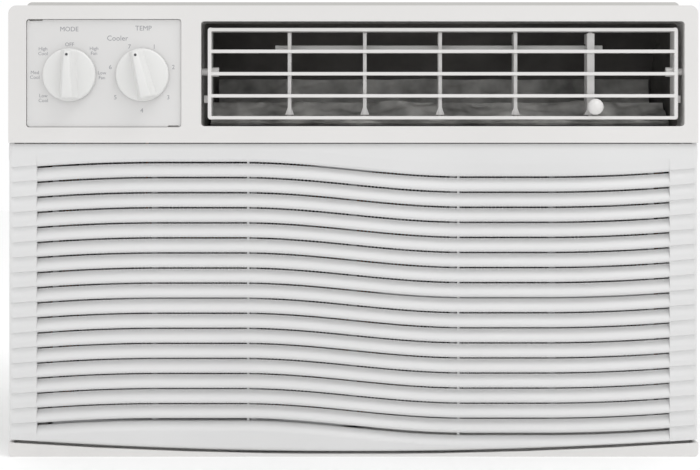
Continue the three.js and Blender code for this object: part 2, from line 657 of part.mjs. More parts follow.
// A squirrel-cage wheel: hub disc at the back, rings and a ring of upright blades.
function blowerWheel() {
  const { radius, inner, d0, d1, blades } = WHEEL;
  const { x, z } = SHAFT;
  const disc = turnDepth(x, z, [[SHAFT.radius + GAP, d1 - 16], [14, d1 - 16], [14, d1 - 4],
    [radius, d1 - 2.5],
    [radius, d1], [SHAFT.radius + GAP, d1], [SHAFT.radius + GAP, d1 - 16]], 32);
  const ring = turnDepth(x, z, [[inner, d0], [radius, d0], [radius, d0 + 4], [inner, d0 + 4],
    [inner, d0]], 32);
  const bladeSolids = Array.from({ length: blades }, (_, i) => {
    const blade = new THREE.BoxGeometry(radius - inner - 2, d1 - d0 - 4, 1.4);
    blade.rotateY(0.5).translate((radius + inner) / 2, (d0 + d1) / 2, 0);
    return solid(blade.rotateY((i / blades) * Math.PI * 2).translate(x, 0, z));
  });
  return sum([disc, ring, ...bladeSolids]);
}

addPiece('drain_tray', drainTray(), foam);
addPiece('blower_scroll', blowerScroll(), foam);
addPiece('blower_orifice_plate', orificePlate(), darkPlastic);
addPiece('discharge_duct', dischargeDuct(), foam);
addPiece('bulkhead', bulkhead(), zincSteel);
addPiece('blower_wheel', blowerWheel(), darkPlastic);

// ---------------------------------------------------------------- motor and outdoor fan

function fanMotor() {
  const { radius, d0, d1 } = MOTOR;
  const bore = SHAFT.radius + GAP;
  return turnDepth(SHAFT.x, SHAFT.z, [[bore, 156], [16, 156], [16, d0 - 4], [radius - 8, d0],
    [radius, d0 + 6],
    [radius, d1 - 6], [radius - 8, d1], [16, d1 + 4], [16, d1 + 14], [bore, d1 + 14], [bore, 156]], 28);
}

// Two upright legs with round seats, on a foot plate in the base pan.
function motorBracket() {
  const sheet = 3;
  const foot = PAN.sheet + GAP;
  const half = 42;
  const legs = [MOTOR.d0 + 10, MOTOR.d1 - 13].map((d) => {
    return box(SHAFT.x - half, SHAFT.x + half, d, d + sheet, foot, SHAFT.z - 10);
  });
  const base = box(SHAFT.x - half - 12, SHAFT.x + half + 12, MOTOR.d0, MOTOR.d1, foot, foot + sheet);
  const seat = rodDepth(SHAFT.x, SHAFT.z, MOTOR.radius + GAP, MOTOR.d0 - 5, MOTOR.d1 + 5, 28);
  return sum([base, ...legs]).subtract(seat);
}

// Pitched blades between the hub and the slinger rim that picks water out of the pan.
function axialFan() {
  const { hub, tip, rim, d0, d1, blades } = FAN;
  const { x, z } = SHAFT;
  const bore = SHAFT.radius + GAP;
  const hubSolid = turnDepth(x, z, [[bore, d0], [hub, d0], [hub, d1 - 4], [hub - 4, d1],
    [bore, d1], [bore, d0]], 24);
  const middle = (d0 + d1) / 2;
  const rimSolid = turnDepth(x, z, [[tip - 1.5, middle - 7], [rim, middle - 7], [rim, middle + 7],
    [tip - 1.5, middle + 7], [tip - 1.5, middle - 7]], 40);
  const bladeSolids = Array.from({ length: blades }, (_, i) => {
    const blade = new THREE.BoxGeometry(tip - hub + 2, 2, 40)
      .rotateX(0.5).translate((tip + hub) / 2 - 1, middle, 0);
    return solid(blade.rotateY((i / blades) * Math.PI * 2).translate(x, 0, z));
  });
  return sum([hubSolid, rimSolid, ...bladeSolids]);
}

function fanShroud() {
  const { d, sheet, radius, collar, x0 } = SHROUD;
  return box(x0, INNER_HALF, d, d + sheet, PAN.sheet + GAP, 300)
    .add(rodDepth(SHAFT.x, SHAFT.z, radius + 2.5, d - collar, d + 1, 40))
    .subtract(rodDepth(SHAFT.x, SHAFT.z, radius, d - collar - 1, d + sheet + 1, 40));
}

addPiece('fan_motor', fanMotor(), blackSteel);
addPiece('motor_shaft', rodDepth(SHAFT.x, SHAFT.z, SHAFT.radius, SHAFT.d0, SHAFT.d1), zincSteel);
addPiece('motor_bracket', motorBracket(), zincSteel);
addPiece('axial_fan', axialFan(), darkPlastic);
addPiece('fan_shroud', fanShroud(), darkPlastic);

// ---------------------------------------------------------------- refrigeration circuit

function addCoil(name, coil, flangeDepth) {
  const { x0, x1, d0, d1, z0, z1, plate } = coil;
  addPiece(`${name}_coil`, box(x0, x1, d0, d1, z0, z1), aluminium);
  const bottom = z0 - flangeDepth;
  addPiece(`${name}_end_plate_left`, box(x0 - GAP - plate, x0 - GAP, d0 - 1, d1 + 1, bottom,
    z1 + 1), zincSteel);
  addPiece(`${name}_end_plate_right`, box(x1 + GAP, x1 + GAP + plate, d0 - 1, d1 + 1, bottom,
    z1 + 1), zincSteel);
}

// Welded can with domed ends on a three-lobed foot plate.
function compressorShape() {
  const { x, d, radius, z0, z1, foot } = COMPRESSOR;
  const can = turnUp(x, d, [[0, z0], [radius - 14, z0], [radius - 2, z0 + 8], [radius, z0 + 18],
    [radius, z1 - 24],
    [radius - 6, z1 - 10], [radius - 22, z1 - 2], [0, z1]], 20);
  const arms = footAngles().map((angle) => {
    const arm = new THREE.BoxGeometry(foot + 8, 26, 3).translate((foot + 8) / 2, 0, z0 - 1);
    return solid(arm.rotateZ(angle).translate(x, d, 0));
  });
  return sum([can, ...arms]);
}

function footAngles() {
  return [90, 210, 330].map((angle) => THREE.MathUtils.degToRad(angle));
}

function grommet(angle) {
  const x = COMPRESSOR.x + COMPRESSOR.foot * Math.cos(angle);
  const d = COMPRESSOR.d + COMPRESSOR.foot * Math.sin(angle);
  const bottom = PAN.sheet + GAP;
  const top = COMPRESSOR.z0 - 2.5 - GAP;
  const waist = (bottom + top) / 2;
  return turnUp(x, d, [[0, bottom], [11, bottom], [11, bottom + 5], [8, waist], [10, top - 3],
    [10, top], [0, top]], 16);
}

function capsule(x, d, radius, z0, z1) {
  const neck = radius * 0.5;
  return turnUp(x, d, [[0, z0], [neck, z0], [radius, z0 + neck], [radius, z1 - neck], [neck, z1],
    [0, z1]], 16);
}

const ACCUMULATOR = { x: -150, d: 300, radius: 20, z0: 60, z1: 168 };
const DRIER = { x: -217, d: 300, radius: 8, z0: 60, z1: 130 };

const suctionPath = [[-150, 300, 168.4], [-150, 300, 190], [-158, 292, 205], [-185, 262, 210],
  [-208, 230, 210],
  [-214, 200, 210], [-214, 110, 210], [-214, 72, 206], [-210, 52, 194], [-202, 49, 190], [-192.3, 49, 190]];
const returnPath = [[-150, 279.6, 80], [-150, 277, 80], [-150, 274.5, 80], [-150, 272.4, 80]];
const dischargePath = [[-130, 222, 199], [-130, 222, 220], [-134, 232, 236], [-150, 262, 248],
  [-185, 300, 258],
  [-215, 330, 266], [-217, 348, 270], [-214, 356, 270], [-207.2, 356, 270]];
const liquidPath = [[-207.2, 356, 40], [-213, 356, 40], [-217, 350, 40], [-217, 325, 41], [-217, 304, 44],
  [-217, 300, 52], [-217, 300, 59.4]];

// The fine capillary leaves the drier, winds three turns and runs on to the evaporator.
function capillaryPath() {
  const coil = { x: -206, d: 285, radius: 13, turns: 3, z0: 150, pitch: 6 };
  const points = [[DRIER.x, DRIER.d, DRIER.z1 + 0.4], [DRIER.x, DRIER.d, 142]];
  const stepsPerTurn = 10;
  for (let i = 0; i <= coil.turns * stepsPerTurn; i += 1) {
    const angle = (i / stepsPerTurn) * Math.PI * 2 + Math.PI / 2;
    const z = coil.z0 + (i / stepsPerTurn) * coil.pitch;
    points.push([coil.x - coil.radius * Math.cos(angle), coil.d + coil.radius * Math.sin(angle), z]);
  }
  return [...points, [-216, 270, 172], [-220, 240, 172], [-220, 150, 160], [-218, 80, 80], [-210, 55, 42],
    [-200, 49, 40], [-192.2, 49, 40]];
}

addCoil('evaporator', EVAPORATOR, 9);
addCoil('condenser', CONDENSER, 4);
addPiece('compressor', compressorShape(), blackSteel);
footAngles().forEach((angle, i) => addPiece(`compressor_grommet_${i + 1}`, grommet(angle), rubber));
addPiece('accumulator', capsule(ACCUMULATOR.x, ACCUMULATOR.d, ACCUMULATOR.radius, ACCUMULATOR.z0,
  ACCUMULATOR.z1),
  blackSteel);
addPiece('filter_drier', capsule(DRIER.x, DRIER.d, DRIER.radius, DRIER.z0, DRIER.z1), copper);
addPiece('suction_tube', tube(suctionPath, 4.5, 24), copper);
addPiece('compressor_return_stub', tube(returnPath, 5, 2), copper);
addPiece('discharge_tube', tube(dischargePath, 3.5, 20), copper);
addPiece('liquid_tube', tube(liquidPath, 2.8, 14), copper);
addPiece('capillary_tube', tube(capillaryPath(), 1.3, 64, 6), copper);

export default model;
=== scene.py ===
"""The window air conditioner's finish and fine detail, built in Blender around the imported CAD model."""

import json
import math

import bmesh
import bpy
from mathutils import Matrix, Vector, noise as lumps


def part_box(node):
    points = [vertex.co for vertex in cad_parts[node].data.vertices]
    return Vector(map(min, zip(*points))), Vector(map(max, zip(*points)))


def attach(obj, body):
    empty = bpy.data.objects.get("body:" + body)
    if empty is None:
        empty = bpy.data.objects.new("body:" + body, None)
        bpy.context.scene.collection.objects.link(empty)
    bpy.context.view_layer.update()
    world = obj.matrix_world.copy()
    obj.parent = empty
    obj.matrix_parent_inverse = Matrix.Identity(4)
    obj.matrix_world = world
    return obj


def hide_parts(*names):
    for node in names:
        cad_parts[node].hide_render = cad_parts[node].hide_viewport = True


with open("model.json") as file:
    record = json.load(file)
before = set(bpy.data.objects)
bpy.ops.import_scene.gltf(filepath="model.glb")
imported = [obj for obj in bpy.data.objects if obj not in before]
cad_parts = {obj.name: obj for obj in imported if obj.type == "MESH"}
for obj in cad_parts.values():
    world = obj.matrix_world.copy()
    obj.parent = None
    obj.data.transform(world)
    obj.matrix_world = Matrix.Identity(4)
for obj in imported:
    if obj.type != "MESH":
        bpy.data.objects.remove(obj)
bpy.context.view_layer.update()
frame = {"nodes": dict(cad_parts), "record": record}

# ---------------------------------------------------------------- places, in millimetres

MM = 0.001
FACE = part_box("front_bezel")[0][1] / MM     # Y of the bezel's front face
BEZEL_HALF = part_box("front_bezel")[1][0] / MM

GRILLE_HALF = 234.7
GRILLE_TOP = 213.2
GRILLE_FRONT = 1.1
GRILLE_DEPTH = 12
HINGE = {"d": 14, "z": 207, "radius": 12.9}
SLOT = {"count": 18, "top": 194.9, "pitch": 10.3, "half": 216, "height": 1.9}
HALF_SLOT = SLOT["height"] / 2
WAVE = {"rise": 78.5, "height": 5, "hold": 130, "fall": 0.00044}
RIB = {"x": 71.9, "half_width": 0.8, "front": 6.2, "back": 7.6, "low": 8, "high": 208}

FILTER = {"half": 206, "low": 20, "high": 198, "front": 8, "back": 10.6, "bar": 4, "bar_pitch": 68}
NET = {"pitch": 2.4, "thread": 0.45, "upright_d": 9.1, "level_d": 9.3}

FIN = {"pitch": 2.6, "thickness": 0.7, "inset": 0.4}
TUBE = {"pitch": 21, "radius": 3.6, "past_end": 3, "bend_start": 2.5, "bend_reach": 5.5, "bend_round": 0.6}
TUBE_ROWS = (0.28, 0.72)                    # places through a coil's depth, as shares of it
LINING = {"x0": -101, "x1": 223, "thickness": 1.6, "columns": 150}

MODE_KNOB = (-193.4, 260.1)
TEMP_KNOB = (-143.7, 260.1)
TEMP_REST_ANGLE = -14
PLATE_FACE = 1.8
LEGEND_THICKNESS = 0.03
KNOB = {"radius": 18, "front": -3.4, "back": 1.2, "grip_front": -15, "grip_reach": 17.0, "rim": 1.6}
POINTER_DOT = {"reach": 13.4, "d": -13.4, "radius": 1.0}


def to_world(x, d, z):
    """A place given as X, depth behind the bezel face and height, in millimetres."""
    return Vector((x * MM, (FACE + d) * MM, z * MM))


def spaced(start, end, count):
    return [start + (end - start) * i / (count - 1) for i in range(count)]


# ---------------------------------------------------------------- materials

def new_material(name):
    material = bpy.data.materials.new(name)
    material.use_nodes = True
    tree = material.node_tree
    shader = tree.nodes["Principled BSDF"]
    where = tree.nodes.new("ShaderNodeTexCoord")
    return material, tree, shader, where.outputs["Object"]


def noise(tree, where, scale, detail=3.0):
    texture = tree.nodes.new("ShaderNodeTexNoise")
    texture.inputs["Scale"].default_value = scale
    texture.inputs["Detail"].default_value = detail
    tree.links.new(where, texture.inputs["Vector"])
    return texture.outputs["Fac"]


NOISE_LOW = 0.3
NOISE_HIGH = 0.7


def ramp(tree, value, dark, light):
    node = tree.nodes.new("ShaderNodeValToRGB")
    node.color_ramp.elements[0].position = NOISE_LOW
    node.color_ramp.elements[1].position = NOISE_HIGH
    node.color_ramp.elements[0].color = (*dark, 1)
    node.color_ramp.elements[1].color = (*light, 1)
    tree.links.new(value, node.inputs["Fac"])
    return node.outputs["Color"]


def spread(tree, value, low, high):
    node = tree.nodes.new("ShaderNodeMapRange")
    node.inputs["From Min"].default_value = NOISE_LOW
    node.inputs["From Max"].default_value = NOISE_HIGH
    node.inputs["To Min"].default_value = low
    node.inputs["To Max"].default_value = high
    tree.links.new(value, node.inputs["Value"])
    return node.outputs["Result"]


def bump(tree, shader, height, strength, distance):
    node = tree.nodes.new("ShaderNodeBump")
    node.inputs["Strength"].default_value = strength
    node.inputs["Distance"].default_value = distance
    tree.links.new(height, node.inputs["Height"])
    tree.links.new(node.outputs["Normal"], shader.inputs["Normal"])


def shade(colour, factor):
    return tuple(channel * factor for channel in colour)


def surface(name, colour, rough, grain, grain_depth, metal=0.0, mottle=0.04, blotch=9.0):
    """A material with broad colour variation, uneven gloss and a fine grain in relief."""
    material, tree, shader, where = new_material(name)
    broad = noise(tree, where, blotch)
    tree.links.new(ramp(tree, broad, shade(colour, 1 - mottle), colour), shader.inputs["Base Color"])
    tree.links.new(spread(tree, noise(tree, where, blotch * 6), *rough), shader.inputs["Roughness"])
    shader.inputs["Metallic"].default_value = metal
    bump(tree, shader, noise(tree, where, grain, 2.0), 0.35, grain_depth)
    return material


WHITE_PLASTIC = surface("white_plastic", (0.70, 0.69, 0.68), (0.34, 0.46), 900, 0.00006)
GRILLE_PLASTIC = surface("grille_plastic", (0.68, 0.68, 0.68), (0.36, 0.48), 900, 0.00006)
PLATE_PLASTIC = surface("plate_plastic", (0.675, 0.67, 0.665), (0.45, 0.58), 1600, 0.00008)
KNOB_PLASTIC = surface("knob_plastic", (0.72, 0.72, 0.71), (0.30, 0.40), 900, 0.00004)
GREY_PLASTIC = surface("grey_plastic", (0.52, 0.52, 0.51), (0.40, 0.52), 900, 0.00006)
DARK_PLASTIC = surface("dark_plastic", (0.035, 0.035, 0.036), (0.45, 0.62), 700, 0.0001, mottle=0.2)
DUCT_FOAM = surface("duct_foam", (0.20, 0.19, 0.18), (0.75, 0.95), 260, 0.0008,
                    mottle=0.45, blotch=22)
FILTER_NET = surface("filter_net", (0.55, 0.55, 0.56), (0.55, 0.75), 500, 0.0001, mottle=0.2)
PAINTED_STEEL = surface("painted_steel", (0.55, 0.545, 0.53), (0.40, 0.52), 420, 0.00012, mottle=0.03)
ZINC_STEEL = surface("zinc_steel", (0.55, 0.57, 0.58), (0.30, 0.50), 60, 0.00005,
                     metal=1.0, mottle=0.25, blotch=45)
BLACK_STEEL = surface("black_steel", (0.018, 0.018, 0.019), (0.28, 0.42), 300, 0.00015, mottle=0.25)
FIN_ALUMINIUM = surface("fin_aluminium", (0.74, 0.75, 0.76), (0.25, 0.42), 300, 0.00004,
                        metal=1.0, mottle=0.12)
COPPER = surface("copper", (0.72, 0.36, 0.22), (0.25, 0.45), 150, 0.00005,
                 metal=1.0, mottle=0.35, blotch=60)
# Crumpled foil look, but pale partly as painted light: it lightens the lower duct walls where light falls
# in.
FOIL_LINING_AND_PAINTED_LIGHT = surface("foil_lining_and_painted_light", (0.88, 0.87, 0.84), (0.45, 0.7), 160, 0.0009,
                      mottle=0.72, blotch=38)
RUBBER = surface("rubber", (0.02, 0.02, 0.02), (0.75, 0.9), 500, 0.0001, mottle=0.2)
PRINT_GREY = surface("print_grey", (0.30, 0.30, 0.32), (0.5, 0.6), 900, 0.00001)
DOT_DARK = surface("dot_dark", (0.05, 0.05, 0.055), (0.4, 0.5), 900, 0.00001)
FLOOR_PALE = surface("floor_pale", (0.96, 0.96, 0.96), (0.6, 0.75), 40, 0.0001,
                     mottle=0.01, blotch=1.5)

SLOT_MATERIALS = {
    "white_plastic": WHITE_PLASTIC, "grille_plastic": GRILLE_PLASTIC, "plate_plastic": PLATE_PLASTIC,
    "knob_plastic": KNOB_PLASTIC, "grey_plastic": GREY_PLASTIC, "dark_plastic": DARK_PLASTIC,
    "duct_foam": DUCT_FOAM, "filter_net": FILTER_NET, "painted_steel": PAINTED_STEEL,
    "zinc_steel": ZINC_STEEL, "black_steel": BLACK_STEEL, "fin_aluminium": FIN_ALUMINIUM,
    "copper": COPPER, "rubber": RUBBER,
}

node_slots = {entry["node"]: entry["material_slot"] for entry in frame["record"]["subparts"]}
node_bodies = {
    node: body for body, nodes in frame["record"]["behaviour"]["bodies"].items() for node in nodes
}


# ---------------------------------------------------------------- mesh helpers

def dress(obj, material):
    obj.data.materials.clear()
    obj.data.materials.append(material)


def add_object(name, mesh, material, smooth_angle=35):
    obj = bpy.data.objects.new(name, mesh)
    bpy.context.scene.collection.objects.link(obj)
    dress(obj, material)
    for polygon in mesh.polygons:
        polygon.use_smooth = True
    mesh.set_sharp_from_angle(angle=math.radians(smooth_angle))
    return obj


def mesh_from(name, builder):
    """A mesh from a bmesh that builder fills, with its faces turned outwards."""
    shape = bmesh.new()
    builder(shape)
    bmesh.ops.recalc_face_normals(shape, faces=shape.faces[:])
    mesh = bpy.data.meshes.new(name)
    shape.to_mesh(mesh)
    shape.free()
    return mesh


def add_bevel(obj, width):
    modifier = obj.modifiers.new("rounded_edges", "BEVEL")
    modifier.width = width * MM
    modifier.segments = 3
    modifier.limit_method = "ANGLE"
    modifier.angle_limit = math.radians(32)
    modifier.harden_normals = True
    modifier.use_clamp_overlap = True


def settle(piece, *nodes):
    """The piece stands for these CAD nodes: they are hidden, and it moves with them."""
    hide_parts(*nodes)
    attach(piece, node_bodies[nodes[0]])


def refined(node, width):
    """Stands for a CAD node with its own shape, its flat faces joined and its edges rounded."""
    source = frame["nodes"][node]

    def build(shape):
        shape.from_mesh(source.data)
        bmesh.ops.remove_doubles(shape, verts=shape.verts[:], dist=0.00001)
        bmesh.ops.dissolve_limit(shape, angle_limit=math.radians(0.6),
                                 verts=shape.verts[:], edges=shape.edges[:])

    piece = add_object(f"{node}_finished", mesh_from(node, build), SLOT_MATERIALS[node_slots[node]])
    if width:
        add_bevel(piece, width)
    settle(piece, node)


def close_slab(shape, sheets):
    """Faces over two grids of vertices with the same rows and columns, and around their rim."""
    rows, columns = len(sheets[0]), len(sheets[0][0])
    for sheet in sheets:
        for i in range(rows - 1):
            for j in range(columns - 1):
                shape.faces.new((sheet[i][j], sheet[i][j + 1], sheet[i + 1][j + 1], sheet[i + 1][j]))
    rim = [(0, j) for j in range(columns)] + [(i, columns - 1) for i in range(1, rows)]
    rim += [(rows - 1, j) for j in range(columns - 2, -1, -1)] + [(i, 0) for i in range(rows - 2, 0, -1)]
    for here, after in zip(rim, rim[1:] + rim[:1]):
        shape.faces.new((sheets[0][here[0]][here[1]], sheets[0][after[0]][after[1]],
                         sheets[1][after[0]][after[1]], sheets[1][here[0]][here[1]]))


def thick_grid(shape, front, back):
    """A closed slab between two grids of X, depth, height points with the same rows and columns."""
    close_slab(shape, [[[shape.verts.new(to_world(*point)) for point in row] for row in grid]
                       for grid in (front, back)])


def thick_grid_local(shape, front, back):
    """The same about the origin, for a piece that is moved into place afterwards."""
    close_slab(shape, [[[shape.verts.new(Vector(point) * MM) for point in row] for row in grid]
                       for grid in (front, back)])


def add_box(shape, x0, x1, d0, d1, z0, z1):
    thick_grid(shape, [[(x0, d0, z0), (x1, d0, z0)], [(x0, d0, z1), (x1, d0, z1)]],
               [[(x0, d1, z0), (x1, d1, z0)], [(x0, d1, z1), (x1, d1, z1)]])


def join_rings(shape, rings):
    """Faces between each ring of vertices and the next."""
    for low, high in zip(rings, rings[1:]):
        for i in range(len(low)):
            after = (i + 1) % len(low)
            shape.faces.new((low[i], low[after], high[after], high[i]))


def join_and_cap_rings(shape, rings):
    join_rings(shape, rings)
    shape.faces.new(rings[0])
    shape.faces.new(rings[-1])


# ---------------------------------------------------------------- camera, floor and light

def add_camera():
    distance = 1300
    seen_width = 476.8
    sideways = -2.2
    eye_height = 220
    picture_middle = 151
    sensor = 36
    camera = bpy.data.cameras.new("camera")
    camera.sensor_width = sensor
    camera.lens = sensor * distance / seen_width
    camera.clip_start = 0.05
    camera.clip_end = 50
    camera.shift_y = (picture_middle - eye_height) / seen_width
    obj = bpy.data.objects.new("camera", camera)
    obj.location = to_world(sideways, -distance, eye_height)
    obj.rotation_euler = (math.radians(90), 0, 0)
    bpy.context.scene.collection.objects.link(obj)
    bpy.context.scene.camera = obj


def add_floor():
    def build(shape):
        half = 4
        corners = [(-half, -half), (half, -half), (half, half), (-half, half)]
        shape.faces.new([shape.verts.new((x, y, 0)) for x, y in corners])

    floor = add_object("floor", mesh_from("floor", build), FLOOR_PALE)


def add_area_light(name, place, target, size, power):
    light = bpy.data.lights.new(name, "AREA")
    light.shape = "RECTANGLE"
    light.size, light.size_y = size
    light.energy = power
    obj = bpy.data.objects.new(name, light)
    obj.location = place
    obj.rotation_euler = (Vector(target) - Vector(place)).to_track_quat("-Z", "Y").to_euler()
    bpy.context.scene.collection.objects.link(obj)


def add_world():
    world = bpy.data.worlds.new("studio")
    world.use_nodes = True
    background = world.node_tree.nodes["Background"]
    background.inputs["Color"].default_value = (1, 1, 1, 1)
    background.inputs["Strength"].default_value = 1.0
    bpy.context.scene.world = world
    bpy.context.scene.view_settings.view_transform = "Standard"


add_camera()
add_floor()
add_world()
add_area_light("top_light", (0.7, -0.75, 1.8), (0, -0.15, 0.2), (1.4, 0.9), 10)


# ---------------------------------------------------------------- intake grille

SKIN_BACK = 6.8
SLAT_CREST = 0.76                           # where a slat's face comes furthest forward
PAST_CREST = 0.78
SLAT_STEPS = [0, 0.05, 0.12, 0.2, 0.3, 0.4, 0.5, 0.6, 0.7, PAST_CREST, 0.85, 0.9, 0.94, 0.97, 0.99, 1]
SLAT_LIP = [(0.75, 6.4), (0.6, 6.0), (0.3, 6.0)]    # rise behind the slot above, and depth
LAST_SPAN = 9.0                             # height of the face's swell below the last slot
SLAT_END = SLOT["half"] + 0.4               # slats reach a little way into the side strips
SLAT_COLUMNS = spaced(-SLAT_END, SLAT_END, 97)
BAND_ROWS = 22
GROOVE_DEPTH = 1.5                          # grooves of the side strips
EDGE_TURN_BACK = 1.2                        # how far the grille's lower edge turns back


def arch(x):
    """Height of the gap under the grille: lowest in the middle."""
    return 2.5 + 7.9 * (x / BEZEL_HALF) ** 2


def wave(x):
    """How far the slats rise left of the middle; they fall by as much on the right."""
    u = abs(x)
    side = -1 if x > 0 else 1
    if u < WAVE["rise"]:
        return side * WAVE["height"] * math.sin(math.pi / 2 * u / WAVE["rise"])
    return side * (WAVE["height"] - WAVE["fall"] * max(0, u - WAVE["hold"]) ** 2)


def slot_z(index):
    return SLOT["top"] - index * SLOT["pitch"]


def first_slot_top(x):
    return slot_z(0) + HALF_SLOT + wave(x)


def last_slot_bottom(x):
    return slot_z(SLOT["count"] - 1) - HALF_SLOT + wave(x)


def grille_top(x):
    return GRILLE_TOP


def grille_bottom(x):
    return arch(x) + 0.9


def slat_depth(t):
    """Depth of a slat's face from its top edge, t = 0, to its lower lip, t = 1."""
    if t < SLAT_CREST:
        return GRILLE_FRONT + 4.7 * (1 - math.sin(math.pi / 2 * t / SLAT_CREST)) ** 0.9
    return GRILLE_FRONT + 2.6 * ((t - SLAT_CREST) / (1 - SLAT_CREST)) ** 2.2


def roll_depth(z):
    """Depth of the rounded top of the grille, which turns about the hinge."""
    over = max(0, z - HINGE["z"])
    return HINGE["d"] - math.sqrt(HINGE["radius"] ** 2 - over ** 2)


def add_slat(shape, index):
    top, bottom = slot_z(index) - HALF_SLOT, slot_z(index + 1) + HALF_SLOT
    levels = [(top + rise, depth) for rise, depth in SLAT_LIP]
    levels += [(top + (bottom - top) * t, slat_depth(t)) for t in SLAT_STEPS]
    front = [[(x, depth, z + wave(x)) for x in SLAT_COLUMNS] for z, depth in levels]
    back = [[(x, SKIN_BACK, z + wave(x)) for x in SLAT_COLUMNS] for z, depth in levels]
    thick_grid(shape, front, back)


def add_band(shape, start, end, depth):
    """A band of the face between two edges, whose heights are functions of X."""
    front, back = [], []
    for t in spaced(0, 1, BAND_ROWS):
        front_row, back_row = [], []
        for x in SLAT_COLUMNS:
            z = start(x) + (end(x) - start(x)) * t
            front_row.append((x, depth(z, start(x), end(x)), z))
            back_row.append((x, SKIN_BACK, z))
        front.append(front_row)
        back.append(back_row)
    thick_grid(shape, front, back)


def top_band_depth(z, slot_edge, top):
    """The rolled top, which leans back and turns in above the first slot."""
    above = z - slot_edge
    return roll_depth(z) + 1.6 * max(0, 1 - above / 1.8) ** 2 + 0.9 * max(0, 1 - above / 9)


def bottom_band_depth(z, slot_edge, bottom):
    """A swell like a slat's, then a flat face that turns back at the lower edge."""
    swell = slat_depth(min((slot_edge - z) / LAST_SPAN, PAST_CREST))
    return swell + EDGE_TURN_BACK * max(0, 1 - (z - bottom) / 1.4) ** 2


def side_rows():
    """Heights at wave level, and how deep the face lies there, down a side strip."""
    rows = [(GRILLE_TOP - drop, 0) for drop in (0, 1, 3, 6)]
    rows.append((slot_z(0) + 4, 0))
    for index in range(SLOT["count"]):
        middle = slot_z(index) + 1.2
        rows += [(middle + 0.9, 0.1), (middle + 0.3, GROOVE_DEPTH)]
        last = index == SLOT["count"] - 1
        span = LAST_SPAN if last else SLOT["pitch"] - SLOT["height"]
        for t in (0, 0.12, 0.25, 0.4, 0.55, 0.7, PAST_CREST):
            depth = min(GROOVE_DEPTH, (slat_depth(t) - GRILLE_FRONT) * 0.5)
            rows.append((middle - HALF_SLOT * 0.6 - t * span * 0.88, depth))
    return rows


def side_stations():
    """X, setback and depth of the back, from the slots' ends out around the rounded side edge."""
    edge_round = 1.6
    stations = [(x, 0, SKIN_BACK) for x in (SLOT["half"], SLOT["half"] + 4, 224, 229, 231.9)]
    stations.append((232.0, 0, GRILLE_DEPTH))
    for angle in (15, 35, 55, 75, 90):
        turn = math.radians(angle)
        x = GRILLE_HALF - edge_round + edge_round * math.sin(turn)
        stations.append((x, edge_round * (1 - math.cos(turn)), GRILLE_DEPTH))
    return stations


def add_side_strip(shape, side):
    front, back = [], []
    levels = side_rows()
    for x, inset, behind in side_stations():
        low = grille_bottom(x)
        lowest = levels[-1][0] + wave(side * x)
        fade = min(1, max(0, (GRILLE_HALF - 0.6 - x) / 3))
        front_row, back_row = [], []
        for z, depth in levels:
            lift = wave(side * x) if z < GRILLE_TOP - 8 else 0
            front_row.append((side * x, roll_depth(z) + depth * fade + inset, z + lift))
            back_row.append((side * x, behind, z + lift))
        for t in (0.25, 0.5, 0.75, 0.9, 1):
            z = lowest + (low - lowest) * t
            edge = EDGE_TURN_BACK if t == 1 else 0
            front_row.append((side * x, GRILLE_FRONT + inset + edge, z))
            back_row.append((side * x, behind, z))
        front.append(front_row)
        back.append(back_row)
    thick_grid(shape, front, back)


def add_disc(shape, side):
    """The round ear that the grille turns on."""
    steps = 64
    chamfer = 0.6
    radius = HINGE["radius"]
    inner, outer = 231.2, GRILLE_HALF + 0.15
    rings = []
    for x, reach in ((inner, radius), (outer - chamfer, radius), (outer, radius - chamfer)):
        ring = []
        for i in range(steps):
            turn = 2 * math.pi * i / steps
            d = HINGE["d"] + reach * math.cos(turn)
            z = HINGE["z"] + reach * math.sin(turn)
            ring.append(shape.verts.new(to_world(side * x, d, z)))
        rings.append(ring)
    join_and_cap_rings(shape, rings)


def build_grille(shape):
    for index in range(SLOT["count"] - 1):
        add_slat(shape, index)
    add_band(shape, first_slot_top, grille_top, top_band_depth)
    add_band(shape, last_slot_bottom, grille_bottom, bottom_band_depth)
    for side in (-1, 1):
        add_side_strip(shape, side)
        add_disc(shape, side)
    for x in (-RIB["x"], RIB["x"]):
        add_box(shape, x - RIB["half_width"], x + RIB["half_width"], RIB["front"], RIB["back"],
                RIB["low"], RIB["high"])


grille_mesh = mesh_from("intake_grille_slatted", build_grille)
grille = add_object("intake_grille_slatted", grille_mesh, GRILLE_PLASTIC, 50)
settle(grille, "intake_grille")


# ---------------------------------------------------------------- filter and coils

def build_filter(shape):
    """A frame of upright and level bars, with a net of fine threads inside it."""
    x0, x1 = -FILTER["half"], FILTER["half"]
    z0, z1 = FILTER["low"], FILTER["high"]
    front, back, bar = FILTER["front"], FILTER["back"], FILTER["bar"]
    pitch, thread = NET["pitch"], NET["thread"]
    for x in [x0 + i * FILTER["bar_pitch"] for i in range(7)]:
        add_box(shape, x, x + bar, front, back, z0, z1)
    for z in (z0, (z0 + z1) / 2 - bar / 2, z1 - bar):
        add_box(shape, x0, x1, front + 0.1, back - 0.1, z, z + bar)
    for x in spaced(x0 + bar, x1 - bar, int((x1 - x0) / pitch)):
        add_box(shape, x - thread / 2, x + thread / 2, NET["upright_d"], NET["upright_d"] + thread,
                z0 + bar / 2, z1 - bar / 2)
    for z in spaced(z0 + bar, z1 - bar, int((z1 - z0) / pitch)):
        add_box(shape, x0 + bar / 2, x1 - bar / 2, NET["level_d"], NET["level_d"] + thread,
                z - thread / 2, z + thread / 2)


net = add_object("air_filter_net", mesh_from("air_filter_net", build_filter), FILTER_NET)
settle(net, "air_filter")


